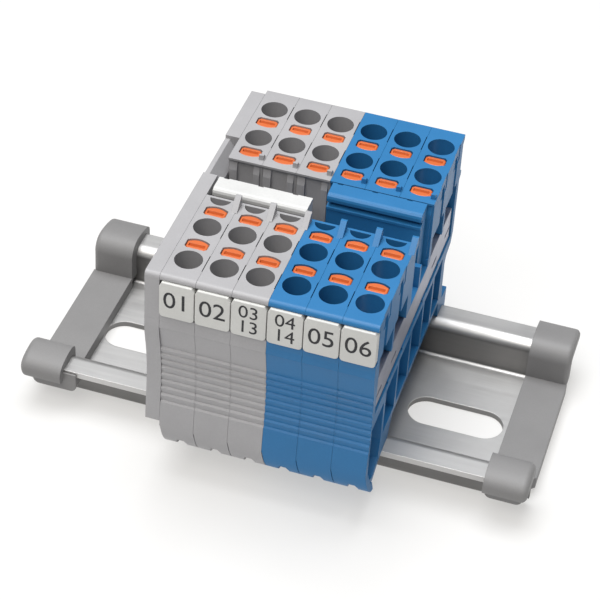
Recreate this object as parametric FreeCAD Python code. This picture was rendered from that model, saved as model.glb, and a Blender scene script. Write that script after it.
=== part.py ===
import FreeCAD, Part
import math
import os

# Terminal block assembly on a perforated top-hat rail.
# X runs along the rail, -Y is the marker-tag side, +Z is up.
# The origin is the centre of the rail's slot pattern, on its underside.
# Heights of the blocks and caps are measured from the top of the rail's flanges.

# Rail
RAIL_LENGTH = 76.0
RAIL_WIDTH = 35.0
RAIL_HEIGHT = 7.5
RAIL_THICK = 1.0
CHANNEL_HALF = 13.0
BEND_OUTER = 1.7
BEND_INNER = 0.6
SLOT_LENGTH = 15.0
SLOT_WIDTH = 6.2
SLOT_PITCH = 25.0
RAIL_CENTRE = 0.5

# Stack of blocks
PITCH = 5.2
BLOCK_WIDTH = 5.17
STACK_LEFT = -13.5
COLOURS = ("gray", "blue")
BLOCKS_PER_COLOUR = 3
TOP = 31.72
FRONT = -26.9
REAR = 19.85
MIDDLE = -3.5
WALL = 1.0
FRONT_CURVE = (
    (-26.9, 23.5), (-26.95, 21.0), (-26.45, 18.0), (-26.05, 14.0), (-26.15, 10.0),
    (-26.55, 6.0), (-26.75, 3.2), (-26.6, 1.2), (-26.0, -0.1), (-25.2, -0.7),
)
RIB_COUNT = 9
RIB_PITCH = 1.285
RIB_LOWEST = 7.5
RIB_DEPTH = 0.3
RIB_LIP = 0.28
RIB_FADE = 4.5

# Groove across the stack, with a shaft for a bridge on each side of a low divider
GROOVE_FRONT = -7.8
GROOVE_REAR = 1.62
GROOVE_FLOOR = 20.2
DIVIDER = (-3.5, -2.7)
DIVIDER_TOP = 24.0

# Wire entries and push buttons: distance from the middle plane, the same on both tiers
HOLE_OUT = (18.95, 11.3)
HOLE_RADIUS = 2.0
HOLE_X = 2.58
BUTTON_OUT = (15.35, 7.6)
BUTTON_WIDTH = 3.1
BUTTON_FLAT = 1.0
BUTTON_ARCH = 1.05
BUTTON_CORNER = 0.35
BUTTON_GAP = 0.1
BUTTON_TOP = 31.6
SLIT_WIDTH = 0.1
CELL_TOP = 24.3
CELL_FLOOR = 13.8

# Lightening pockets in the right side
POCKET_X = 3.7

# Current bar
BAR_X = 3.95
BAR_THICK = 1.0
BAR_Y = (-24.0, 17.0)
BAR_Z = (14.3, 19.8)

# Marker tags
TAG_Z = (24.72, 30.8)
TAG_WIDTH = 5.06
TAG_FACE = -27.3
TAG_BACK = -26.08

# End cover
COVER_THICK = 2.2

# Bridges
BRIDGE_LENGTH = 14.1
BRIDGE_INSET = 0.5
BRIDGE_DEPTH = 3.1
BRIDGE_HEIGHT = 10.6

# End caps, with X measured from the middle of the rail
CAP_INNER = 32.8
CAP_OUTER = 39.4
LIP_FACE = 17.85

PARTS = "parts"


def up(height):
    """Height above the rail's underside of a height above its flanges."""
    return RAIL_HEIGHT + height


def box(x0, x1, y0, y1, z0, z1):
    corner = FreeCAD.Vector(x0, y0, up(z0))
    return Part.makeBox(x1 - x0, y1 - y0, z1 - z0, corner)


def yz_prism(points, x0, x1):
    """Straight-sided outline in the Y-Z plane, extruded along X."""
    corners = [FreeCAD.Vector(x0, y, up(z)) for y, z in points]
    wire = Part.makePolygon(corners + corners[:1])
    return Part.Face(wire).extrude(FreeCAD.Vector(x1 - x0, 0, 0))


def xz_prism(points, y0, y1):
    corners = [FreeCAD.Vector(x, y0, up(z)) for x, z in points]
    wire = Part.makePolygon(corners + corners[:1])
    return Part.Face(wire).extrude(FreeCAD.Vector(0, y1 - y0, 0))


def curved_prism(curve, points, x0, x1):
    """A smooth curve through the first points, closed by straight lines through the others."""
    knots = [FreeCAD.Vector(x0, y, up(z)) for y, z in curve]
    spline = Part.BSplineCurve()
    spline.interpolate(knots)
    edges = [spline.toShape()]
    corners = [knots[-1]] + [FreeCAD.Vector(x0, y, up(z)) for y, z in points] + [knots[0]]
    for start, end in zip(corners, corners[1:]):
        edges.append(Part.makeLine(start, end))
    return Part.Face(Part.Wire(edges)).extrude(FreeCAD.Vector(x1 - x0, 0, 0))


def strip(points, thick, x0, x1):
    """Bent flat strip: a polyline in Y-Z given a thickness, with mitred bends."""
    left = []
    right = []
    for index, (y, z) in enumerate(points):
        before = points[max(index - 1, 0)]
        after = points[min(index + 1, len(points) - 1)]
        first = math.atan2(z - before[1], y - before[0]) if index else None
        last = math.atan2(after[1] - z, after[0] - y) if index < len(points) - 1 else None
        if first is None:
            first = last
        if last is None:
            last = first
        turn = math.atan2(math.sin(last - first), math.cos(last - first)) / 2
        angle = first + turn
        reach = thick / 2 / math.cos(turn)
        left.append((y - reach * math.sin(angle), z + reach * math.cos(angle)))
        right.append((y + reach * math.sin(angle), z - reach * math.cos(angle)))
    return yz_prism(left + right[::-1], x0, x1)


def fillet_where(shape, radius, test):
    edges = [edge for edge in shape.Edges if test(edge)]
    return shape.makeFillet(radius, edges)


def runs_along_x(edge):
    ends = [vertex.Point for vertex in edge.Vertexes]
    return len(ends) == 2 and abs(ends[0].y - ends[1].y) < 1e-6 and abs(ends[0].z - ends[1].z) < 1e-6


def at(edge, y, height):
    point = edge.Vertexes[0].Point
    return runs_along_x(edge) and abs(abs(point.y) - y) < 1e-6 and abs(point.z - up(height)) < 1e-6


def rail_solid(x0, x1, grow):
    """Top-hat section between two planes, with its surfaces moved outwards by grow."""
    wall_in = CHANNEL_HALF - grow
    wall_out = CHANNEL_HALF + RAIL_THICK + grow
    edge = RAIL_WIDTH / 2 + grow
    low = -RAIL_HEIGHT - grow
    web = RAIL_THICK - RAIL_HEIGHT + grow
    under = -RAIL_THICK - grow
    points = [
        (-edge, under), (-edge, grow), (-wall_in, grow), (-wall_in, web), (wall_in, web),
        (wall_in, grow), (edge, grow), (edge, under), (wall_out, under), (wall_out, low),
        (-wall_out, low), (-wall_out, under),
    ]
    solid = yz_prism(points, x0, x1)
    solid = fillet_where(solid, BEND_OUTER, lambda e: at(e, wall_in, grow) or at(e, wall_out, low))
    return fillet_where(solid, BEND_INNER, lambda e: at(e, wall_in, web) or at(e, wall_out, under))


def rail():
    solid = rail_solid(RAIL_CENTRE - RAIL_LENGTH / 2, RAIL_CENTRE + RAIL_LENGTH / 2, 0.0)
    radius = SLOT_WIDTH / 2
    half = SLOT_LENGTH / 2 - radius
    for step in (-1, 0, 1):
        centre = step * SLOT_PITCH
        slot = box(centre - half, centre + half, -radius, radius, -8.5, -5.5)
        for side in (-half, half):
            place = FreeCAD.Vector(centre + side, 0, up(-8.5))
            slot = slot.fuse(Part.makeCylinder(radius, 3.0, place))
        solid = solid.cut(slot)
    return solid


def front_at(height):
    """Y of the front face at a height, between the points of its curve."""
    for (y0, z0), (y1, z1) in zip(FRONT_CURVE, FRONT_CURVE[1:]):
        if z1 <= height <= z0:
            return y0 + (y1 - y0) * (height - z0) / (z1 - z0)
    return FRONT


def tier_y(tier, out):
    """Y of a feature at a distance from the middle plane; tier is -1 in front, 1 behind."""
    return MIDDLE + tier * out


def span(tier, near, far):
    """The Y range between two distances from the middle plane, low end first."""
    return sorted((tier_y(tier, near), tier_y(tier, far)))


def button_outline(tier, out, grow, low, high, x_left):
    """Prism of a push button's plan: flat on the outer side, arched towards the groove."""
    half = BUTTON_WIDTH / 2 + grow
    flat = tier_y(tier, out + BUTTON_FLAT + grow)
    corner = tier_y(tier, out + BUTTON_FLAT + grow - BUTTON_CORNER)
    shoulder = tier_y(tier, out - BUTTON_ARCH + 0.55 - grow)
    crown = tier_y(tier, out - BUTTON_ARCH - grow)
    x = x_left + HOLE_X
    level = up(low)
    plan = [
        (x - half, shoulder), (x - half, corner), (x - half + BUTTON_CORNER, flat),
        (x + half - BUTTON_CORNER, flat), (x + half, corner), (x + half, shoulder),
    ]
    points = [FreeCAD.Vector(px, py, level) for px, py in plan]
    edges = [Part.makeLine(start, end) for start, end in zip(points, points[1:])]
    edges.append(Part.Arc(points[-1], FreeCAD.Vector(x, crown, level), points[0]).toShape())
    return Part.Face(Part.Wire(edges)).extrude(FreeCAD.Vector(0, 0, high - low))


def button(tier, out, x_left):
    head = button_outline(tier, out, 0.0, 26.5, BUTTON_TOP, x_left)
    head = fillet_where(head, 0.22, lambda e: all(abs(v.Point.z - up(BUTTON_TOP)) < 1e-6 for v in e.Vertexes))
    middle = tier_y(tier, out)
    blade = tier_y(tier, out + 0.18)
    x = x_left + HOLE_X
    stem = box(x - 1.2, x + 1.2, middle - 0.75, middle + 0.75, 22.8, 26.6)
    nick = yz_prism([
        (blade - 0.36, BUTTON_TOP + 0.1), (blade + 0.36, BUTTON_TOP + 0.1),
        (blade + 0.1, BUTTON_TOP - 0.45), (blade - 0.1, BUTTON_TOP - 0.45),
    ], x - 1.2, x + 1.2)
    return head.fuse(stem).cut(nick).removeSplitter()


def clamp_spring(tier, out, x_left):
    """Bent leaf that holds a wire up against the current bar, below its push button."""
    path = [
        (1.7, 14.5), (-3.7, 14.5), (-4.0, 14.8), (-4.0, 19.8), (-3.8, 20.5), (-3.3, 20.85),
        (-2.7, 20.75), (-2.2, 20.3), (0.1, 17.6), (0.9, 16.1),
    ]
    centre = tier_y(tier, out)
    points = [(centre + tier * y, z) for y, z in path]
    return strip(points, 0.35, x_left + 1.3, x_left + 3.8)


def body_outline():
    """Lower, rear and top outline of a housing, from the tip of its front foot round to the front."""
    return [
        (-22.2, -1.6), (-19.0, -0.15), (-17.75, 0.05), (-14.6, 0.05), (-12.6, 3.3), (13.7, 3.3),
        (14.4, 0.05), (17.75, 0.05), (17.75, -1.15), (16.3, -1.15), (16.4, -2.5), (18.6, -2.5),
        (19.5, -1.5), (19.5, 2.2), (16.2, 2.4), (15.6, 5.6), (15.3, 10.2), (15.9, 11.3),
        (18.4, 12.0), (19.2, 13.7), (19.2, 23.7), (20.0, 24.2), (20.0, 25.0), (19.2, 25.6),
        (19.1, 30.4), (REAR, 30.9), (REAR, TOP), (FRONT, TOP),
    ]


def foot_lap(side, gap, x):
    """Region right of the slanted edge where one front foot laps under the next block."""
    return [(x + gap, 3.1), (x + 0.72 + gap, -0.9), (x + 0.72 + gap, -4.0), (side, -4.0), (side, 3.1)]


def housing_blank(x):
    lap_end = x + BLOCK_WIDTH + 1.0
    solid = curved_prism(FRONT_CURVE, body_outline(), x, lap_end)
    right = x + BLOCK_WIDTH
    trims = [
        box(right, lap_end + 1, -30, 25, 3.1, 40),
        box(right, lap_end + 1, -24.4, 25, -5, 3.2),
        xz_prism(foot_lap(lap_end + 1, 0.0, right), -30, -24.3),
        xz_prism(foot_lap(x - 1, 0.08, x), -30, -24.3),
    ]
    for trim in trims:
        solid = solid.cut(trim)
    return fillet_where(solid, 0.7, lambda e: at(e, -FRONT, TOP))


def tier_cuts(tier, x):
    """Wire entries, button shafts, clamp cells and side windows of one tier."""
    cuts = []
    right = x + BLOCK_WIDTH
    for hole, push in zip(HOLE_OUT, BUTTON_OUT):
        y = tier_y(tier, hole)
        cuts.append(Part.makeCylinder(HOLE_RADIUS, TOP - 23.0, FreeCAD.Vector(x + HOLE_X, y, up(24.0))))
        cuts.append(box(right - SLIT_WIDTH, right + 1, y - 1.75, y + 1.75, 29.0, TOP + 1))
        cuts.append(box(x + 4.0, right + 1, y - 0.75, y + 0.75, CELL_TOP, 30.4))
        cuts.append(button_outline(tier, push, BUTTON_GAP, 24.0, TOP + 1, x))
        low, high = span(tier, hole - 4.6, hole + 2.2)
        cuts.append(box(x + WALL, right + 1, low, high, CELL_FLOOR, CELL_TOP))
    return cuts


def housing(x):
    """One block's plastic body, closed on its left side and open on its right."""
    solid = housing_blank(x)
    right = x + BLOCK_WIDTH
    hook = [
        (-21.6, 0.4), (-21.9, -1.6), (-18.2, -2.5), (-16.4, -2.5), (-16.3, -1.15), (-17.75, -1.15),
        (-17.75, 0.6),
    ]
    solid = solid.fuse(yz_prism(hook, x + 0.8, x + 4.2))
    cuts = [box(x - 1, right + 1, GROOVE_FRONT, GROOVE_REAR, GROOVE_FLOOR, TOP + 2)]
    cuts.append(box(x - 1, right + 1, FRONT - 2, TAG_BACK + 0.03, TAG_Z[0] - 0.08, TAG_Z[1] + 0.1))
    cuts.append(box(x + 1.5, x + 3.7, TAG_BACK - 0.1, TAG_BACK + 0.8, 27.2, 28.8))
    cuts += rib_cuts(x)
    for tier in (-1, 1):
        cuts += tier_cuts(tier, x)
    bar_room = (BAR_Y[0] - 0.1, BAR_Y[1] + 0.1, BAR_Z[0] - 0.1, BAR_Z[1] + 0.1)
    cuts.append(box(x + BAR_X - 0.05, right + 1, *bar_room))
    step = [(2.45, -4), (2.45, 0.45), (2.7, 0.95), (3.7, 0.95), (4.1, 0.3), (4.1, -4)]
    cuts.append(xz_prism([(x + a, b) for a, b in step], -30, -22.6))
    hollow = [
        (-25.4, 11.4), (-25.55, 6), (-25.6, 3), (-25.0, 0.6), (-22.4, -0.5), (-19.9, 0.9),
        (-19.2, 4), (-19.2, 11.4),
    ]
    cuts.append(yz_prism(hollow, x + WALL, right + 2))
    for low, high in ((-18.2, -12.2), (-11.3, -5.2), (-4.3, 1.8), (2.7, 7.7), (8.6, 13.4)):
        cuts.append(box(x + POCKET_X, right + 1, low, high, 4.3, 12.6))
    cuts.append(box(x + WALL, right + 1, GROOVE_FRONT + 0.6, GROOVE_REAR - 0.6, CELL_FLOOR, BAR_Z[1] - 0.6))
    for centre in bridge_slots():
        cuts.append(box(x + 1.3, x + BAR_X, centre - 0.6, centre + 0.6, 15, GROOVE_FLOOR + 1))
    cuts += groove_wall_cuts(x)
    cuts.append(test_opening(x))
    for cut in cuts:
        solid = solid.cut(cut)
    solid = solid.fuse(box(x, right, DIVIDER[0], DIVIDER[1], GROOVE_FLOOR - 0.2, DIVIDER_TOP))
    for points, start, end in posts(right):
        solid = solid.fuse(yz_prism(points, start, end))
    return solid.removeSplitter()


def rib_cuts(x):
    """Saw-tooth ribs across the front: short ledges facing up, each under a slope running back in."""
    cuts = []
    for rib in range(RIB_COUNT):
        level = RIB_LOWEST + rib * RIB_PITCH
        top = level + (RIB_FADE if rib == RIB_COUNT - 1 else RIB_PITCH)
        edge = front_at(level)
        cuts.append(yz_prism([
            (FRONT - 1, level), (edge, level), (edge + RIB_DEPTH, level + RIB_LIP),
            (front_at(top), top), (FRONT - 1, top),
        ], x - 1, x + BLOCK_WIDTH + 1))
    return cuts


def groove_wall_cuts(x):
    """Recesses beside the two ribs of the groove's rear wall, and the slope on top of the ribs."""
    face = GROOVE_REAR - 0.1
    cuts = [box(x + 1.35, x + 3.85, face, GROOVE_REAR + 0.55, 21.5, 31.35)]
    for start, end in ((x - 0.1, x + 0.2), (x + 4.8, x + BLOCK_WIDTH + 0.1)):
        cuts.append(box(start, end, face, GROOVE_REAR + 0.35, 21.5, 31.35))
    slope = [(face, 29.3), (face, 31.35), (GROOVE_REAR + 0.45, 31.35)]
    cuts.append(yz_prism(slope, x - 0.1, x + BLOCK_WIDTH + 0.1))
    return cuts


def posts(right):
    """Small upright wedges beside the groove; the front one reaches a little over the seam."""
    front = [(-8.2, TOP - 1), (-8.2, TOP + 1.65), (-8.6, TOP + 1.65), (-10.6, TOP), (-10.6, TOP - 0.5)]
    over = [(-8.2, TOP + 0.03), (-8.2, TOP + 1.65), (-8.6, TOP + 1.65), (-10.56, TOP + 0.03)]
    rear = [(2.55, TOP - 1), (2.8, TOP + 0.8), (3.15, TOP + 0.8), (3.9, TOP), (3.9, TOP - 0.5)]
    return (front, right - 0.6, right), (over, right, right + 0.3), (rear, right - 0.85, right - 0.15)


def test_opening(x):
    """Half-moon test opening between the front tier's inner button and the groove."""
    left = FreeCAD.Vector(x + 0.75, -8.2, up(23))
    right = FreeCAD.Vector(x + 3.85, -8.2, up(23))
    crown = FreeCAD.Vector(x + 2.3, -9.6, up(23))
    wire = Part.Wire([Part.Arc(left, crown, right).toShape(), Part.makeLine(right, left)])
    return Part.Face(wire).extrude(FreeCAD.Vector(0, 0, 12))


def marker_tag(x):
    left = x + (BLOCK_WIDTH - TAG_WIDTH) / 2
    right = left + TAG_WIDTH
    low, high = TAG_Z
    outline = [
        (left, low), (right, low), (right, high - 0.75), (right - 0.35, high), (left + 0.35, high),
        (left, high - 0.75),
    ]
    plate = xz_prism(outline, TAG_FACE, TAG_BACK)
    plate = plate.makeFillet(0.6, [
        edge for edge in plate.Edges
        if len(edge.Vertexes) == 2
        and all(abs(v.Point.z - up(low)) < 1e-6 for v in edge.Vertexes)
        and abs(edge.Vertexes[0].Point.x - edge.Vertexes[1].Point.x) < 1e-6
    ])
    plate = plate.makeFillet(0.12, [
        edge for edge in plate.Edges
        if all(abs(v.Point.y - TAG_FACE) < 1e-6 for v in edge.Vertexes)
    ])
    peg = box(x + 1.6, x + 3.6, TAG_BACK - 0.1, TAG_BACK + 0.7, 27.3, 28.7)
    return plate.fuse(peg).removeSplitter()


def current_bar(x):
    bar = box(x + BAR_X, x + BAR_X + BAR_THICK, BAR_Y[0], BAR_Y[1], BAR_Z[0], BAR_Z[1])
    for tier in (-1, 1):
        for hole in HOLE_OUT:
            y = tier_y(tier, hole)
            bar = bar.cut(box(x + BAR_X + 0.75, x + 6, y - 1.5, y + 1.5, 16.0, 16.5))
    for centre in bridge_slots():
        bar = bar.cut(box(x + BAR_X - 1, x + BAR_X + 0.06, centre - 0.6, centre + 0.6, 14, 21))
    return bar


def end_cover():
    x0 = STACK_LEFT - COVER_THICK
    x1 = STACK_LEFT - 0.03
    outline = [
        (-20.0, 3.9), (13.4, 3.9), (15.0, 5.6), (15.0, 10.4), (15.9, 11.3), (18.2, 12.0),
        (18.85, 13.7), (18.85, TOP), (FRONT, TOP),
    ]
    curve = [point for point in FRONT_CURVE if point[1] > 3.5] + [(-26.65, 4.0)]
    plate = curved_prism(curve, outline, x0, x1)
    plate = fillet_where(plate, 0.7, lambda e: at(e, -FRONT, TOP))
    plate = plate.cut(box(x0 - 1, x1 + 1, -3.0, 6.75, 31.15, TOP + 1))
    slope = [(x0 + 0.55, 31.4), (x1 + 0.3, 28.4), (x1 + 0.3, 32.5), (x0 + 0.55, 32.5)]
    plate = plate.cut(xz_prism(slope, -3.0, 6.75))
    return plate.removeSplitter()


def bridge_slots():
    """Y of the two comb planes: front shaft and rear shaft."""
    return -5.2, -0.05


def bridge_head(x, comb_y, top):
    """Plastic body of a three-pole bridge with a finger ledge on its front."""
    left = x + BRIDGE_INSET
    right = left + BRIDGE_LENGTH
    rear = comb_y + BRIDGE_DEPTH / 2
    front = comb_y - BRIDGE_DEPTH / 2
    outline = [
        (rear, top), (front + 0.75, top), (front + 0.4, top - 0.08), (front + 0.13, top - 0.3),
        (front, top - 0.65), (front, top - 1.15),
        (front + 0.9, top - 1.25), (front + 0.9, top - 1.95), (front - 0.1, top - 2.05),
        (front - 0.1, top - 2.5), (front + 0.1, top - 2.6), (front + 0.1, top - BRIDGE_HEIGHT),
        (rear - 0.25, top - BRIDGE_HEIGHT), (rear - 0.25, top - 2.4), (rear, top - 2.2),
    ]
    head = yz_prism(outline, left, right)
    for block in range(3):
        centre = x + block * PITCH + 1.6
        head = head.cut(box(centre - 0.4, centre + 0.4, rear - 0.16, rear + 1, top - 0.6, top + 1))
    pocket = box(left + 0.55, right - 0.55, comb_y - 0.42, comb_y + 0.42, top - 12, top - 4.0)
    return head.cut(pocket)


def bridge_comb(x, comb_y, top):
    """Copper comb: one bar held in the head, with a prong into each block."""
    left = x + BRIDGE_INSET
    right = left + BRIDGE_LENGTH
    comb = box(left + 0.6, right - 0.6, comb_y - 0.4, comb_y + 0.4, top - 7.6, top - 4.05)
    for block in range(3):
        start = x + block * PITCH + 1.45
        prong = box(start, start + 2.1, comb_y - 0.4, comb_y + 0.4, 15.4, top - 7.5)
        comb = comb.fuse(prong)
    return comb.removeSplitter()


def smooth_prism(segments, x0, x1):
    """Closed outline in Y-Z of straight pieces (two points) and smooth ones (more), extruded along X."""
    edges = []
    for points in segments:
        knots = [FreeCAD.Vector(x0, y, up(z)) for y, z in points]
        if len(knots) == 2:
            edges.append(Part.makeLine(knots[0], knots[1]))
        else:
            spline = Part.BSplineCurve()
            spline.interpolate(knots)
            edges.append(spline.toShape())
    return Part.Face(Part.Wire(edges)).extrude(FreeCAD.Vector(x1 - x0, 0, 0))


def prism_through(first, curve, rest, x0, x1):
    """Closed outline in Y-Z: straight through the first points, smooth through the curve, straight back."""
    before = list(first) + [curve[0]]
    after = [curve[-1]] + list(rest) + [before[0]]
    segments = list(zip(before, before[1:])) + [curve] + list(zip(after, after[1:]))
    return smooth_prism(segments, x0, x1)


def at_outer_end(edge):
    """Edges lying in the plane of a cap's outer end."""
    return all(abs(vertex.Point.x - CAP_OUTER) < 1e-6 for vertex in edge.Vertexes)


def front_bump():
    curve = [
        (-12.9, 0.3), (-13.3, 1.25), (-14.2, 1.65), (-15.6, 1.72), (-17.2, 1.5), (-18.5, 0.95),
        (-19.15, 0.1), (-19.2, -0.75), (-18.9, -1.75),
    ]
    solid = prism_through([(-16.0, -1.75), (-12.9, -1.75)], curve, [], CAP_INNER, CAP_OUTER)
    solid = fillet_where(solid, 0.9, at_outer_end)
    return solid.fuse(box(CAP_INNER, CAP_OUTER - 0.3, -13.5, -12.9, -6.0, -0.9))


def rear_bump():
    curve = [
        (19.0, -0.2), (18.7, 0.55), (17.6, 1.15), (15.6, 1.65), (13.8, 1.85), (12.3, 1.55),
        (11.3, 0.65), (10.9, -0.7),
    ]
    rest = [(10.8, -5.0), (13.5, -5.0)]
    solid = prism_through([(13.5, -1.3), (19.0, -1.3)], curve, rest, CAP_INNER, CAP_OUTER)
    return fillet_where(solid, 0.8, at_outer_end)


def strap():
    """Flat web across the inside of the rail's channel, with its outer front corner cut off."""
    solid = box(CAP_INNER, CAP_OUTER, -13.2, 11.0, -6.45, -4.4)
    outline = ((36.6, -13.3), (39.6, -10.3), (39.6, -13.3), (36.6, -13.3))
    corner = [FreeCAD.Vector(x, y, up(-7)) for x, y in outline]
    return solid.cut(Part.Face(Part.makePolygon(corner)).extrude(FreeCAD.Vector(0, 0, 3)))


def lip_corner(edge, height):
    """Edges along Y at the bottom of a lower lip."""
    ends = [vertex.Point for vertex in edge.Vertexes]
    low = all(abs(end.z - up(height)) < 1e-6 for end in ends)
    return len(ends) == 2 and low and abs(ends[0].x - ends[1].x) < 1e-6


def lower_lip(foot, foot_low, tier):
    """Lip that grips the rail's flange from below."""
    low, high = sorted((tier * 14.3, tier * LIP_FACE))
    lip = box(foot[0], foot[1], low, high, foot_low, -0.4)
    return fillet_where(lip, 1.0, lambda e: lip_corner(e, foot_low))


def end_cap(side, foot, foot_low):
    """Plastic cap over one end of the rail; foot gives the X range of its lower lips."""
    solid = front_bump().fuse(rear_bump())
    solid = solid.fuse(strap())
    for tier in (-1, 1):
        solid = solid.fuse(lower_lip(foot, foot_low, tier))
    solid = solid.cut(rail_solid(CAP_INNER - 3, RAIL_LENGTH / 2 + 0.05, 0.05))
    solid = solid.removeSplitter()
    if side < 0:
        solid = solid.mirror(FreeCAD.Vector(0, 0, 0), FreeCAD.Vector(1, 0, 0))
    solid.translate(FreeCAD.Vector(RAIL_CENTRE, 0, 0))
    return solid


def export(name, shape):
    if not shape.isValid():
        print("invalid shape:", name)
    shape.exportStep(os.path.join(PARTS, name + ".step"))


def main():
    os.makedirs("parts", exist_ok=True)
    export("rail", rail())
    export("rail_end_cap_left", end_cap(-1, (30.8, 37.8), -3.7))
    export("rail_end_cap_right", end_cap(1, (33.0, 38.6), -3.5))
    export("stack_end_cover", end_cover())
    rows = [("front_outer", -1, 0), ("front_inner", -1, 1), ("rear_inner", 1, 1), ("rear_outer", 1, 0)]
    for group, colour in enumerate(COLOURS):
        for number in range(BLOCKS_PER_COLOUR):
            x = STACK_LEFT + (group * BLOCKS_PER_COLOUR + number) * PITCH
            label = "{}_{}".format(colour, number + 1)
            export("housing_" + label, housing(x))
            export("marker_tag_" + label, marker_tag(x))
            export("current_bar_" + label, current_bar(x))
            springs = []
            for row, tier, place in rows:
                export("button_{}_{}".format(label, row), button(tier, BUTTON_OUT[place], x))
                springs.append(clamp_spring(tier, HOLE_OUT[place], x))
            export("clamp_springs_" + label, Part.makeCompound(springs))
    group_width = BLOCKS_PER_COLOUR * PITCH
    front_shaft, rear_shaft = bridge_slots()
    for colour, x, comb_y, top in (
        ("gray", STACK_LEFT, front_shaft, 32.1),
        ("blue", STACK_LEFT + group_width, rear_shaft, 31.66),
    ):
        export("bridge_head_" + colour, bridge_head(x, comb_y, top))
        export("bridge_comb_" + colour, bridge_comb(x, comb_y, top))


main()
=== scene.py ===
import math

import bpy
from mathutils import Matrix, Vector


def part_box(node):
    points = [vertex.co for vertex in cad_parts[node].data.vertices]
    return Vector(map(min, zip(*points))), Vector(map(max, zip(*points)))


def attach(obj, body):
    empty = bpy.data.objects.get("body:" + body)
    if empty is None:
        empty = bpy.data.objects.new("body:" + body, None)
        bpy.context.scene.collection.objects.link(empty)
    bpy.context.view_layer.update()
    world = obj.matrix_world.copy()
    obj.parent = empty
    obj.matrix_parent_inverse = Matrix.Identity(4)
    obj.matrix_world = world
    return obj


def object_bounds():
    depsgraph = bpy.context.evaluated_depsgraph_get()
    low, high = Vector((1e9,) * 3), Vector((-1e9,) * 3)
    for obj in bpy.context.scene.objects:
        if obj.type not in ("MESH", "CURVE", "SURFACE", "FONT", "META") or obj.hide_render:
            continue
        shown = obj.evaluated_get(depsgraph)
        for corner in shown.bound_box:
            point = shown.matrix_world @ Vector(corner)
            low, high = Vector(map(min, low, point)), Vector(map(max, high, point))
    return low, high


MM = 0.001

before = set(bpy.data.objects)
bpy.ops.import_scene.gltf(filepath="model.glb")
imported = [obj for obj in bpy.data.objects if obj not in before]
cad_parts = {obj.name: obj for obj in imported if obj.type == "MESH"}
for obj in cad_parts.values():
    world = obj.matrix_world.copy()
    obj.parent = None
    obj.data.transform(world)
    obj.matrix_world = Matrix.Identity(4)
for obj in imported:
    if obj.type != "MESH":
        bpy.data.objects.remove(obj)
cad_low, cad_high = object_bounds()


# ---------------------------------------------------------------- camera

CAMERA_PLACE = (62.07, -230.12, 221.46)
CAMERA_AZIMUTH = 15.30
CAMERA_ELEVATION = 40.61
CAMERA_ROLL = 3.57
CAMERA_LENS = 124.72


def make_camera():
    azimuth = math.radians(CAMERA_AZIMUTH)
    elevation = math.radians(CAMERA_ELEVATION)
    roll = math.radians(CAMERA_ROLL)
    back = Vector((
        math.sin(azimuth) * math.cos(elevation),
        -math.cos(azimuth) * math.cos(elevation),
        math.sin(elevation),
    ))
    level_right = (-back).cross(Vector((0, 0, 1))).normalized()
    level_up = level_right.cross(-back)
    right = level_right * math.cos(roll) + level_up * math.sin(roll)
    upward = -level_right * math.sin(roll) + level_up * math.cos(roll)
    data = bpy.data.cameras.new("camera")
    data.lens = CAMERA_LENS
    data.sensor_width = 36.0
    data.clip_start = 0.01
    data.clip_end = 20.0
    camera = bpy.data.objects.new("camera", data)
    bpy.context.scene.collection.objects.link(camera)
    turn = Matrix((right, upward, back)).transposed().to_4x4()
    camera.matrix_world = Matrix.Translation(Vector(CAMERA_PLACE) * MM) @ turn
    bpy.context.scene.camera = camera


make_camera()


# ---------------------------------------------------------------- materials

BEVEL_SAMPLES = 6
GRAIN_DEPTH = 0.02 * MM
ROLLING_DEPTH = 0.015 * MM
# How dark the painted shade on the rail's walls, slots and underside is, as a share of the colour.
PAINTED_WALL_SHADE = 0.4


def linear(level):
    """Linear value of an sRGB level from 0 to 255."""
    share = level / 255
    return share / 12.92 if share <= 0.04045 else ((share + 0.055) / 1.055) ** 2.4


def rgb(red, green, blue):
    return (linear(red), linear(green), linear(blue), 1.0)


def shade(colour, factor):
    return tuple(min(1.0, c * factor) for c in colour[:3]) + (1.0,)


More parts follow.
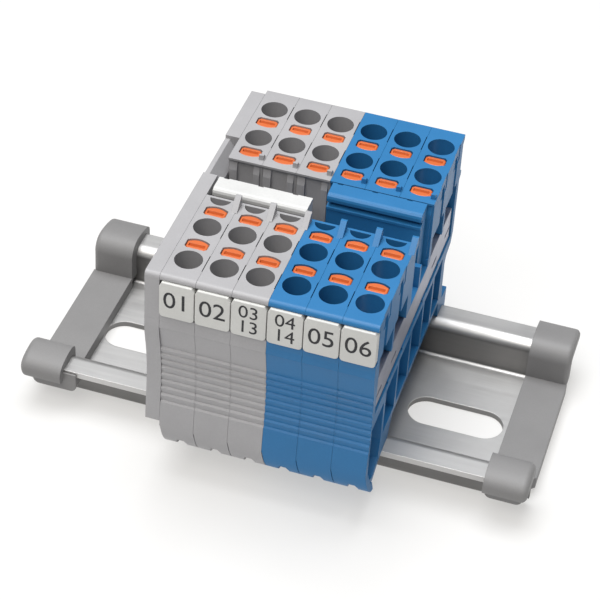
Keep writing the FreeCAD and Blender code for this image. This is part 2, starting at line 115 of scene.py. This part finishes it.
class Graph:
    """A material's node tree, with short calls for the nodes used here."""

    def __init__(self, name):
        self.material = bpy.data.materials.new(name)
        self.material.use_nodes = True
        self.nodes = self.material.node_tree.nodes
        self.links = self.material.node_tree.links
        self.shader = self.nodes["Principled BSDF"]
        self.place = self.nodes.new("ShaderNodeTexCoord").outputs["Object"]

    def add(self, kind, **settings):
        node = self.nodes.new(kind)
        for key, value in settings.items():
            setattr(node, key, value)
        return node

    def join(self, source, target):
        self.links.new(source, target)

    def stretched(self, scale):
        mapping = self.add("ShaderNodeMapping")
        mapping.inputs["Scale"].default_value = scale
        self.join(self.place, mapping.inputs["Vector"])
        return mapping.outputs["Vector"]

    def noise(self, scale, detail=3.0, roughness=0.5, vector=None):
        node = self.add("ShaderNodeTexNoise")
        node.inputs["Scale"].default_value = scale
        node.inputs["Detail"].default_value = detail
        node.inputs["Roughness"].default_value = roughness
        self.join(self.place if vector is None else vector, node.inputs["Vector"])
        return node.outputs["Fac"]

    def ranged(self, value, low, high, out_low, out_high):
        node = self.add("ShaderNodeMapRange")
        node.inputs["From Min"].default_value = low
        node.inputs["From Max"].default_value = high
        node.inputs["To Min"].default_value = out_low
        node.inputs["To Max"].default_value = out_high
        self.join(value, node.inputs["Value"])
        return node.outputs["Result"]

    def blend(self, factor, first, second):
        node = self.add("ShaderNodeMix", data_type="RGBA")
        self.join(factor, node.inputs["Factor"])
        for value, socket in ((first, node.inputs[6]), (second, node.inputs[7])):
            if isinstance(value, tuple):
                socket.default_value = value
            else:
                self.join(value, socket)
        return node.outputs[2]

    def bump(self, height, strength, distance, normal=None):
        node = self.add("ShaderNodeBump")
        node.inputs["Strength"].default_value = strength
        node.inputs["Distance"].default_value = distance
        self.join(height, node.inputs["Height"])
        if normal is not None:
            self.join(normal, node.inputs["Normal"])
        return node.outputs["Normal"]

    def rounded(self, radius):
        """Surface normal with edges rounded over, and a mask that is 1 along those edges."""
        bevel = self.add("ShaderNodeBevel", samples=BEVEL_SAMPLES)
        bevel.inputs["Radius"].default_value = radius
        geometry = self.add("ShaderNodeNewGeometry")
        dot = self.add("ShaderNodeVectorMath", operation="DOT_PRODUCT")
        self.join(bevel.outputs["Normal"], dot.inputs[0])
        self.join(geometry.outputs["Normal"], dot.inputs[1])
        return bevel.outputs["Normal"], self.ranged(dot.outputs["Value"], 0.995, 0.8, 0.0, 1.0)

    def rail_shade_mask(self, walls):
        """Mask for painted shade, 1 on both faces of a rail's channel walls and on everything below its
        web's top.

        walls gives the mask's inner limit from the middle, the walls' top and the web's top, in mm.
        """
        half, height, web_top = walls
        split = self.add("ShaderNodeSeparateXYZ")
        self.join(self.place, split.inputs[0])
        distance = self.add("ShaderNodeMath", operation="ABSOLUTE")
        self.join(split.outputs["Y"], distance.inputs[0])
        beyond = self.ranged(distance.outputs[0], (half - 0.1) * MM, half * MM, 0.0, 1.0)
        below = self.ranged(split.outputs["Z"], (height - 0.4) * MM, height * MM, 1.0, 0.0)
        both = self.add("ShaderNodeMath", operation="MULTIPLY")
        self.join(beyond, both.inputs[0])
        self.join(below, both.inputs[1])
        slots = self.ranged(split.outputs["Z"], (web_top - 0.2) * MM, (web_top - 0.05) * MM, 1.0, 0.0)
        either = self.add("ShaderNodeMath", operation="MAXIMUM")
        self.join(both.outputs[0], either.inputs[0])
        self.join(slots, either.inputs[1])
        return either.outputs[0]


def moulded(name, colour, rough=0.42, grain=0.25, wear_and_highlight=1.12, edge=0.07, specular=0.45):
    """Injection-moulded plastic: spark-eroded grain, flow variation and paler edges, partly wear and partly
    painted highlight.
    """
    graph = Graph(name)
    broad = graph.noise(130.0, 4.0, 0.55)
    speck = graph.noise(3800.0, 2.0, 0.6)
    normal, rim = graph.rounded(edge * MM)
    flow = graph.blend(graph.ranged(broad, 0.3, 0.7, 0.0, 1.0), shade(colour, 0.95), shade(colour, 1.05))
    specks = graph.ranged(speck, 0.38, 0.62, 0.0, 0.35)
    body = graph.blend(specks, flow, shade(colour, 0.9))
    scuff = graph.ranged(graph.noise(900.0, 3.0, 0.6), 0.42, 0.6, 0.25, 1.0)
    # Paler edges, patchy along the bevel mask: partly wear, partly painted highlight.
    wear_and_highlight_mask = graph.add("ShaderNodeMath", operation="MULTIPLY")
    graph.join(rim, wear_and_highlight_mask.inputs[0])
    graph.join(scuff, wear_and_highlight_mask.inputs[1])
    graph.join(graph.blend(wear_and_highlight_mask.outputs[0], body, shade(colour, wear_and_highlight)), graph.shader.inputs["Base Color"])
    graph.join(graph.ranged(broad, 0.25, 0.75, rough - 0.05, rough + 0.07), graph.shader.inputs["Roughness"])
    fine = graph.bump(speck, grain, GRAIN_DEPTH, normal)
    graph.join(fine, graph.shader.inputs["Normal"])
    graph.shader.inputs["Specular IOR Level"].default_value = specular
    return graph.material


def metal(name, colour, rough, along, grain=0.3, tarnish=0.8, edge=0.12, walls=None):
    """Rolled metal: fine drawn lines one way, faint cloudy tarnish and a painted highlight along the edges.

    walls, for a rail, sets the mask of its channel walls, slots and underside, and what that mask covers
    gets a darker colour as painted shade.
    """
    graph = Graph(name)
    lines = graph.noise(1.0, 4.0, 0.65, graph.stretched(along))
    cloud = graph.noise(90.0, 4.0, 0.6)
    normal, rim = graph.rounded(edge * MM)
    plain = graph.blend(graph.ranged(lines, 0.3, 0.7, 0.0, 1.0), shade(colour, 0.94), shade(colour, 1.05))
    tarnish_and_painted_shade = graph.blend(graph.ranged(cloud, 0.42, 0.72, 0.0, 0.8), plain, shade(colour, tarnish))
    if walls is not None:
        # Painted shade: the rail's walls, slots and underside are darkened in the colour itself.
        tarnish_and_painted_shade = graph.blend(graph.rail_shade_mask(walls), tarnish_and_painted_shade, shade(colour, PAINTED_WALL_SHADE))
    # Painted highlight: edges lightened along the bevel mask.
    graph.join(graph.blend(rim, tarnish_and_painted_shade, shade(colour, 1.25)), graph.shader.inputs["Base Color"])
    mix = graph.add("ShaderNodeMath", operation="MULTIPLY_ADD")
    graph.join(lines, mix.inputs[0])
    mix.inputs[1].default_value = 0.22
    graph.join(graph.ranged(cloud, 0.3, 0.75, rough - 0.14, rough + 0.02), mix.inputs[2])
    graph.join(mix.outputs[0], graph.shader.inputs["Roughness"])
    graph.join(graph.bump(lines, grain, ROLLING_DEPTH, normal), graph.shader.inputs["Normal"])
    graph.shader.inputs["Metallic"].default_value = 1.0
    return graph.material


GRAY = rgb(160, 159, 161)
BLUE = rgb(42, 110, 162)
ORANGE = rgb(198, 98, 48)
CAP_GRAY = rgb(126, 125, 125)

FINISHES = {
    "rail_steel": metal(
        "zinc_plated_steel", rgb(197, 196, 195), 0.46, (60.0, 1800.0, 1800.0), grain=0.1, tarnish=0.9,
        # Limits of the painted shade on the rail's walls, slots and underside, in mm.
        walls=(12.95, 6.5, 1.0),
    ),
    "cap_plastic": moulded("cap_plastic", CAP_GRAY, rough=0.5),
    "gray_plastic": moulded("gray_polyamide", GRAY),
    "blue_plastic": moulded("blue_polyamide", BLUE, wear_and_highlight=1.25, specular=0.3),
    "orange_plastic": moulded("orange_polyamide", ORANGE, rough=0.38, wear_and_highlight=1.25),
    "white_plastic": moulded("white_polyamide", rgb(200, 200, 199), wear_and_highlight=1.03),
    "tag_plastic": moulded("tag_plastic", rgb(202, 202, 199), rough=0.5, grain=0.12, wear_and_highlight=1.03),
    "tinned_copper": metal("tinned_copper", rgb(160, 163, 176), 0.42, (120.0, 900.0, 2600.0)),
    "spring_steel": metal("spring_steel", rgb(172, 172, 176), 0.3, (2400.0, 160.0, 160.0)),
    "copper": metal("bright_copper", rgb(216, 138, 96), 0.34, (2400.0, 2400.0, 140.0)),
}

SLOTS = (
    ("rail_end_cap", "cap_plastic"), ("rail", "rail_steel"), ("stack_end_cover", "gray_plastic"),
    ("housing_gray", "gray_plastic"), ("housing_blue", "blue_plastic"), ("marker_tag", "tag_plastic"),
    ("current_bar", "tinned_copper"), ("clamp_springs", "spring_steel"), ("button", "orange_plastic"),
    ("bridge_head_gray", "white_plastic"), ("bridge_head_blue", "blue_plastic"),
    ("bridge_comb", "copper"),
)


def finish_of(node):
    return next(slot for prefix, slot in SLOTS if node.startswith(prefix))


for node_name, node_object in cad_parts.items():
    material = FINISHES[finish_of(node_name)]
    node_object.data.materials.clear()
    node_object.data.materials.append(material)


# ---------------------------------------------------------------- printed numbers on the tags

INK = moulded("printing_ink", rgb(38, 38, 42), rough=0.6, grain=0.1, wear_and_highlight=1.0)
PRINT = (
    ("gray_1", ("01",)), ("gray_2", ("02",)), ("gray_3", ("03", "13")),
    ("blue_1", ("04", "14")), ("blue_2", ("05",)), ("blue_3", ("06",)),
)
ONE_LINE_SIZE = 4.0 * MM
TWO_LINE_SIZE = 3.05 * MM
HALF_LINE_STEP = 1.3
INK_THICK = 0.012 * MM
INK_SPREAD = 0.004 * MM
INK_STANDOFF = 0.002 * MM


def text_mesh(name, words, size, centre):
    """Flat printed figures standing in the plane of a tag's face, as thin raised ink."""
    data = bpy.data.curves.new(name, "FONT")
    data.body = words
    data.size = size
    data.align_x = "CENTER"
    data.align_y = "CENTER"
    data.extrude = INK_THICK
    data.offset = INK_SPREAD
    data.resolution_u = 4
    source = bpy.data.objects.new(name + "_curve", data)
    bpy.context.scene.collection.objects.link(source)
    bpy.context.view_layer.update()
    mesh = bpy.data.meshes.new_from_object(source.evaluated_get(bpy.context.evaluated_depsgraph_get()))
    bpy.data.objects.remove(source)
    mesh.transform(Matrix.Translation(centre) @ Matrix.Rotation(math.radians(90), 4, "X"))
    mesh.materials.clear()
    mesh.materials.append(INK)
    piece = bpy.data.objects.new(name, mesh)
    bpy.context.scene.collection.objects.link(piece)
    return piece


for block, lines in PRINT:
    low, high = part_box("marker_tag_" + block)
    middle = (low + high) / 2
    size = ONE_LINE_SIZE if len(lines) == 1 else TWO_LINE_SIZE
    for row, words in enumerate(lines):
        lift = 0.0 if len(lines) == 1 else HALF_LINE_STEP * (1 - 2 * row) * MM
        centre = Vector((middle.x, low.y - INK_STANDOFF, middle.z + lift))
        name = "tag_number_{}_{}".format(block, row + 1)
        piece = text_mesh(name, words, size, centre)
        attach(piece, block.split("_")[0] + "_group")


# ---------------------------------------------------------------- floor, lights and surroundings

FLOOR_REACH = 3.0
FLOOR_GAP = 0.02 * MM
FLOOR_TONES = ((0.34, 0.34, 0.34, 1), (0.36, 0.36, 0.36, 1))
FLOOR_GLOW = (1, 0.985, 0.96, 1)
FLOOR_GLOW_STRENGTH = 0.5
WORLD_LOW = (0.08, 0.08, 0.08, 1)
WORLD_HIGH = (0.40, 0.41, 0.43, 1)
LIGHT_TARGET = (0, 0, 0)
LIGHTS = (
    ("key", (-0.1, 0.05, 0.95), (0.7, 0.6), 10.3, (0.985, 0.995, 1.0)),
    ("front_top", (-0.1, -0.55, 0.85), (0.6, 0.4), 4.3, (1.0, 0.965, 0.91)),
)


def make_floor():
    """Pale paper that glows a little, so that it stays near white beside the model."""
    mesh = bpy.data.meshes.new("floor")
    reach = FLOOR_REACH
    corners = [(-reach, -reach, 0), (reach, -reach, 0), (reach, reach, 0), (-reach, reach, 0)]
    mesh.from_pydata(corners, [], [(0, 1, 2, 3)])
    floor = bpy.data.objects.new("floor", mesh)
    floor.location.z = cad_low.z - FLOOR_GAP
    bpy.context.scene.collection.objects.link(floor)
    graph = Graph("floor_paper")
    tone = graph.ranged(graph.noise(40.0, 2.0), 0.3, 0.7, 0.0, 1.0)
    graph.join(graph.blend(tone, *FLOOR_TONES), graph.shader.inputs["Base Color"])
    graph.shader.inputs["Roughness"].default_value = 0.9
    graph.shader.inputs["Specular IOR Level"].default_value = 0.1
    graph.shader.inputs["Emission Color"].default_value = FLOOR_GLOW
    graph.shader.inputs["Emission Strength"].default_value = FLOOR_GLOW_STRENGTH
    mesh.materials.append(graph.material)


def area_light(name, place, size, power, colour):
    data = bpy.data.lights.new(name, "AREA")
    data.shape = "RECTANGLE"
    data.size, data.size_y = size
    data.energy = power
    data.color = colour
    light = bpy.data.objects.new(name, data)
    light.location = place
    light.rotation_mode = "QUATERNION"
    light.rotation_quaternion = (Vector(LIGHT_TARGET) - Vector(place)).to_track_quat("-Z", "Y")
    bpy.context.scene.collection.objects.link(light)


def make_world():
    """Surroundings that are dark low down and light overhead."""
    world = bpy.data.worlds.new("studio")
    world.use_nodes = True
    nodes, links = world.node_tree.nodes, world.node_tree.links
    background = nodes["Background"]
    place = nodes.new("ShaderNodeTexCoord")
    split = nodes.new("ShaderNodeSeparateXYZ")
    ramp = nodes.new("ShaderNodeValToRGB")
    links.new(place.outputs["Generated"], split.inputs[0])
    links.new(split.outputs["Z"], ramp.inputs["Fac"])
    links.new(ramp.outputs["Color"], background.inputs["Color"])
    ramp.color_ramp.elements[0].color = WORLD_LOW
    ramp.color_ramp.elements[1].color = WORLD_HIGH
    bpy.context.scene.world = world


make_floor()
for settings in LIGHTS:
    area_light(*settings)
make_world()
bpy.context.scene.view_settings.view_transform = "Standard"
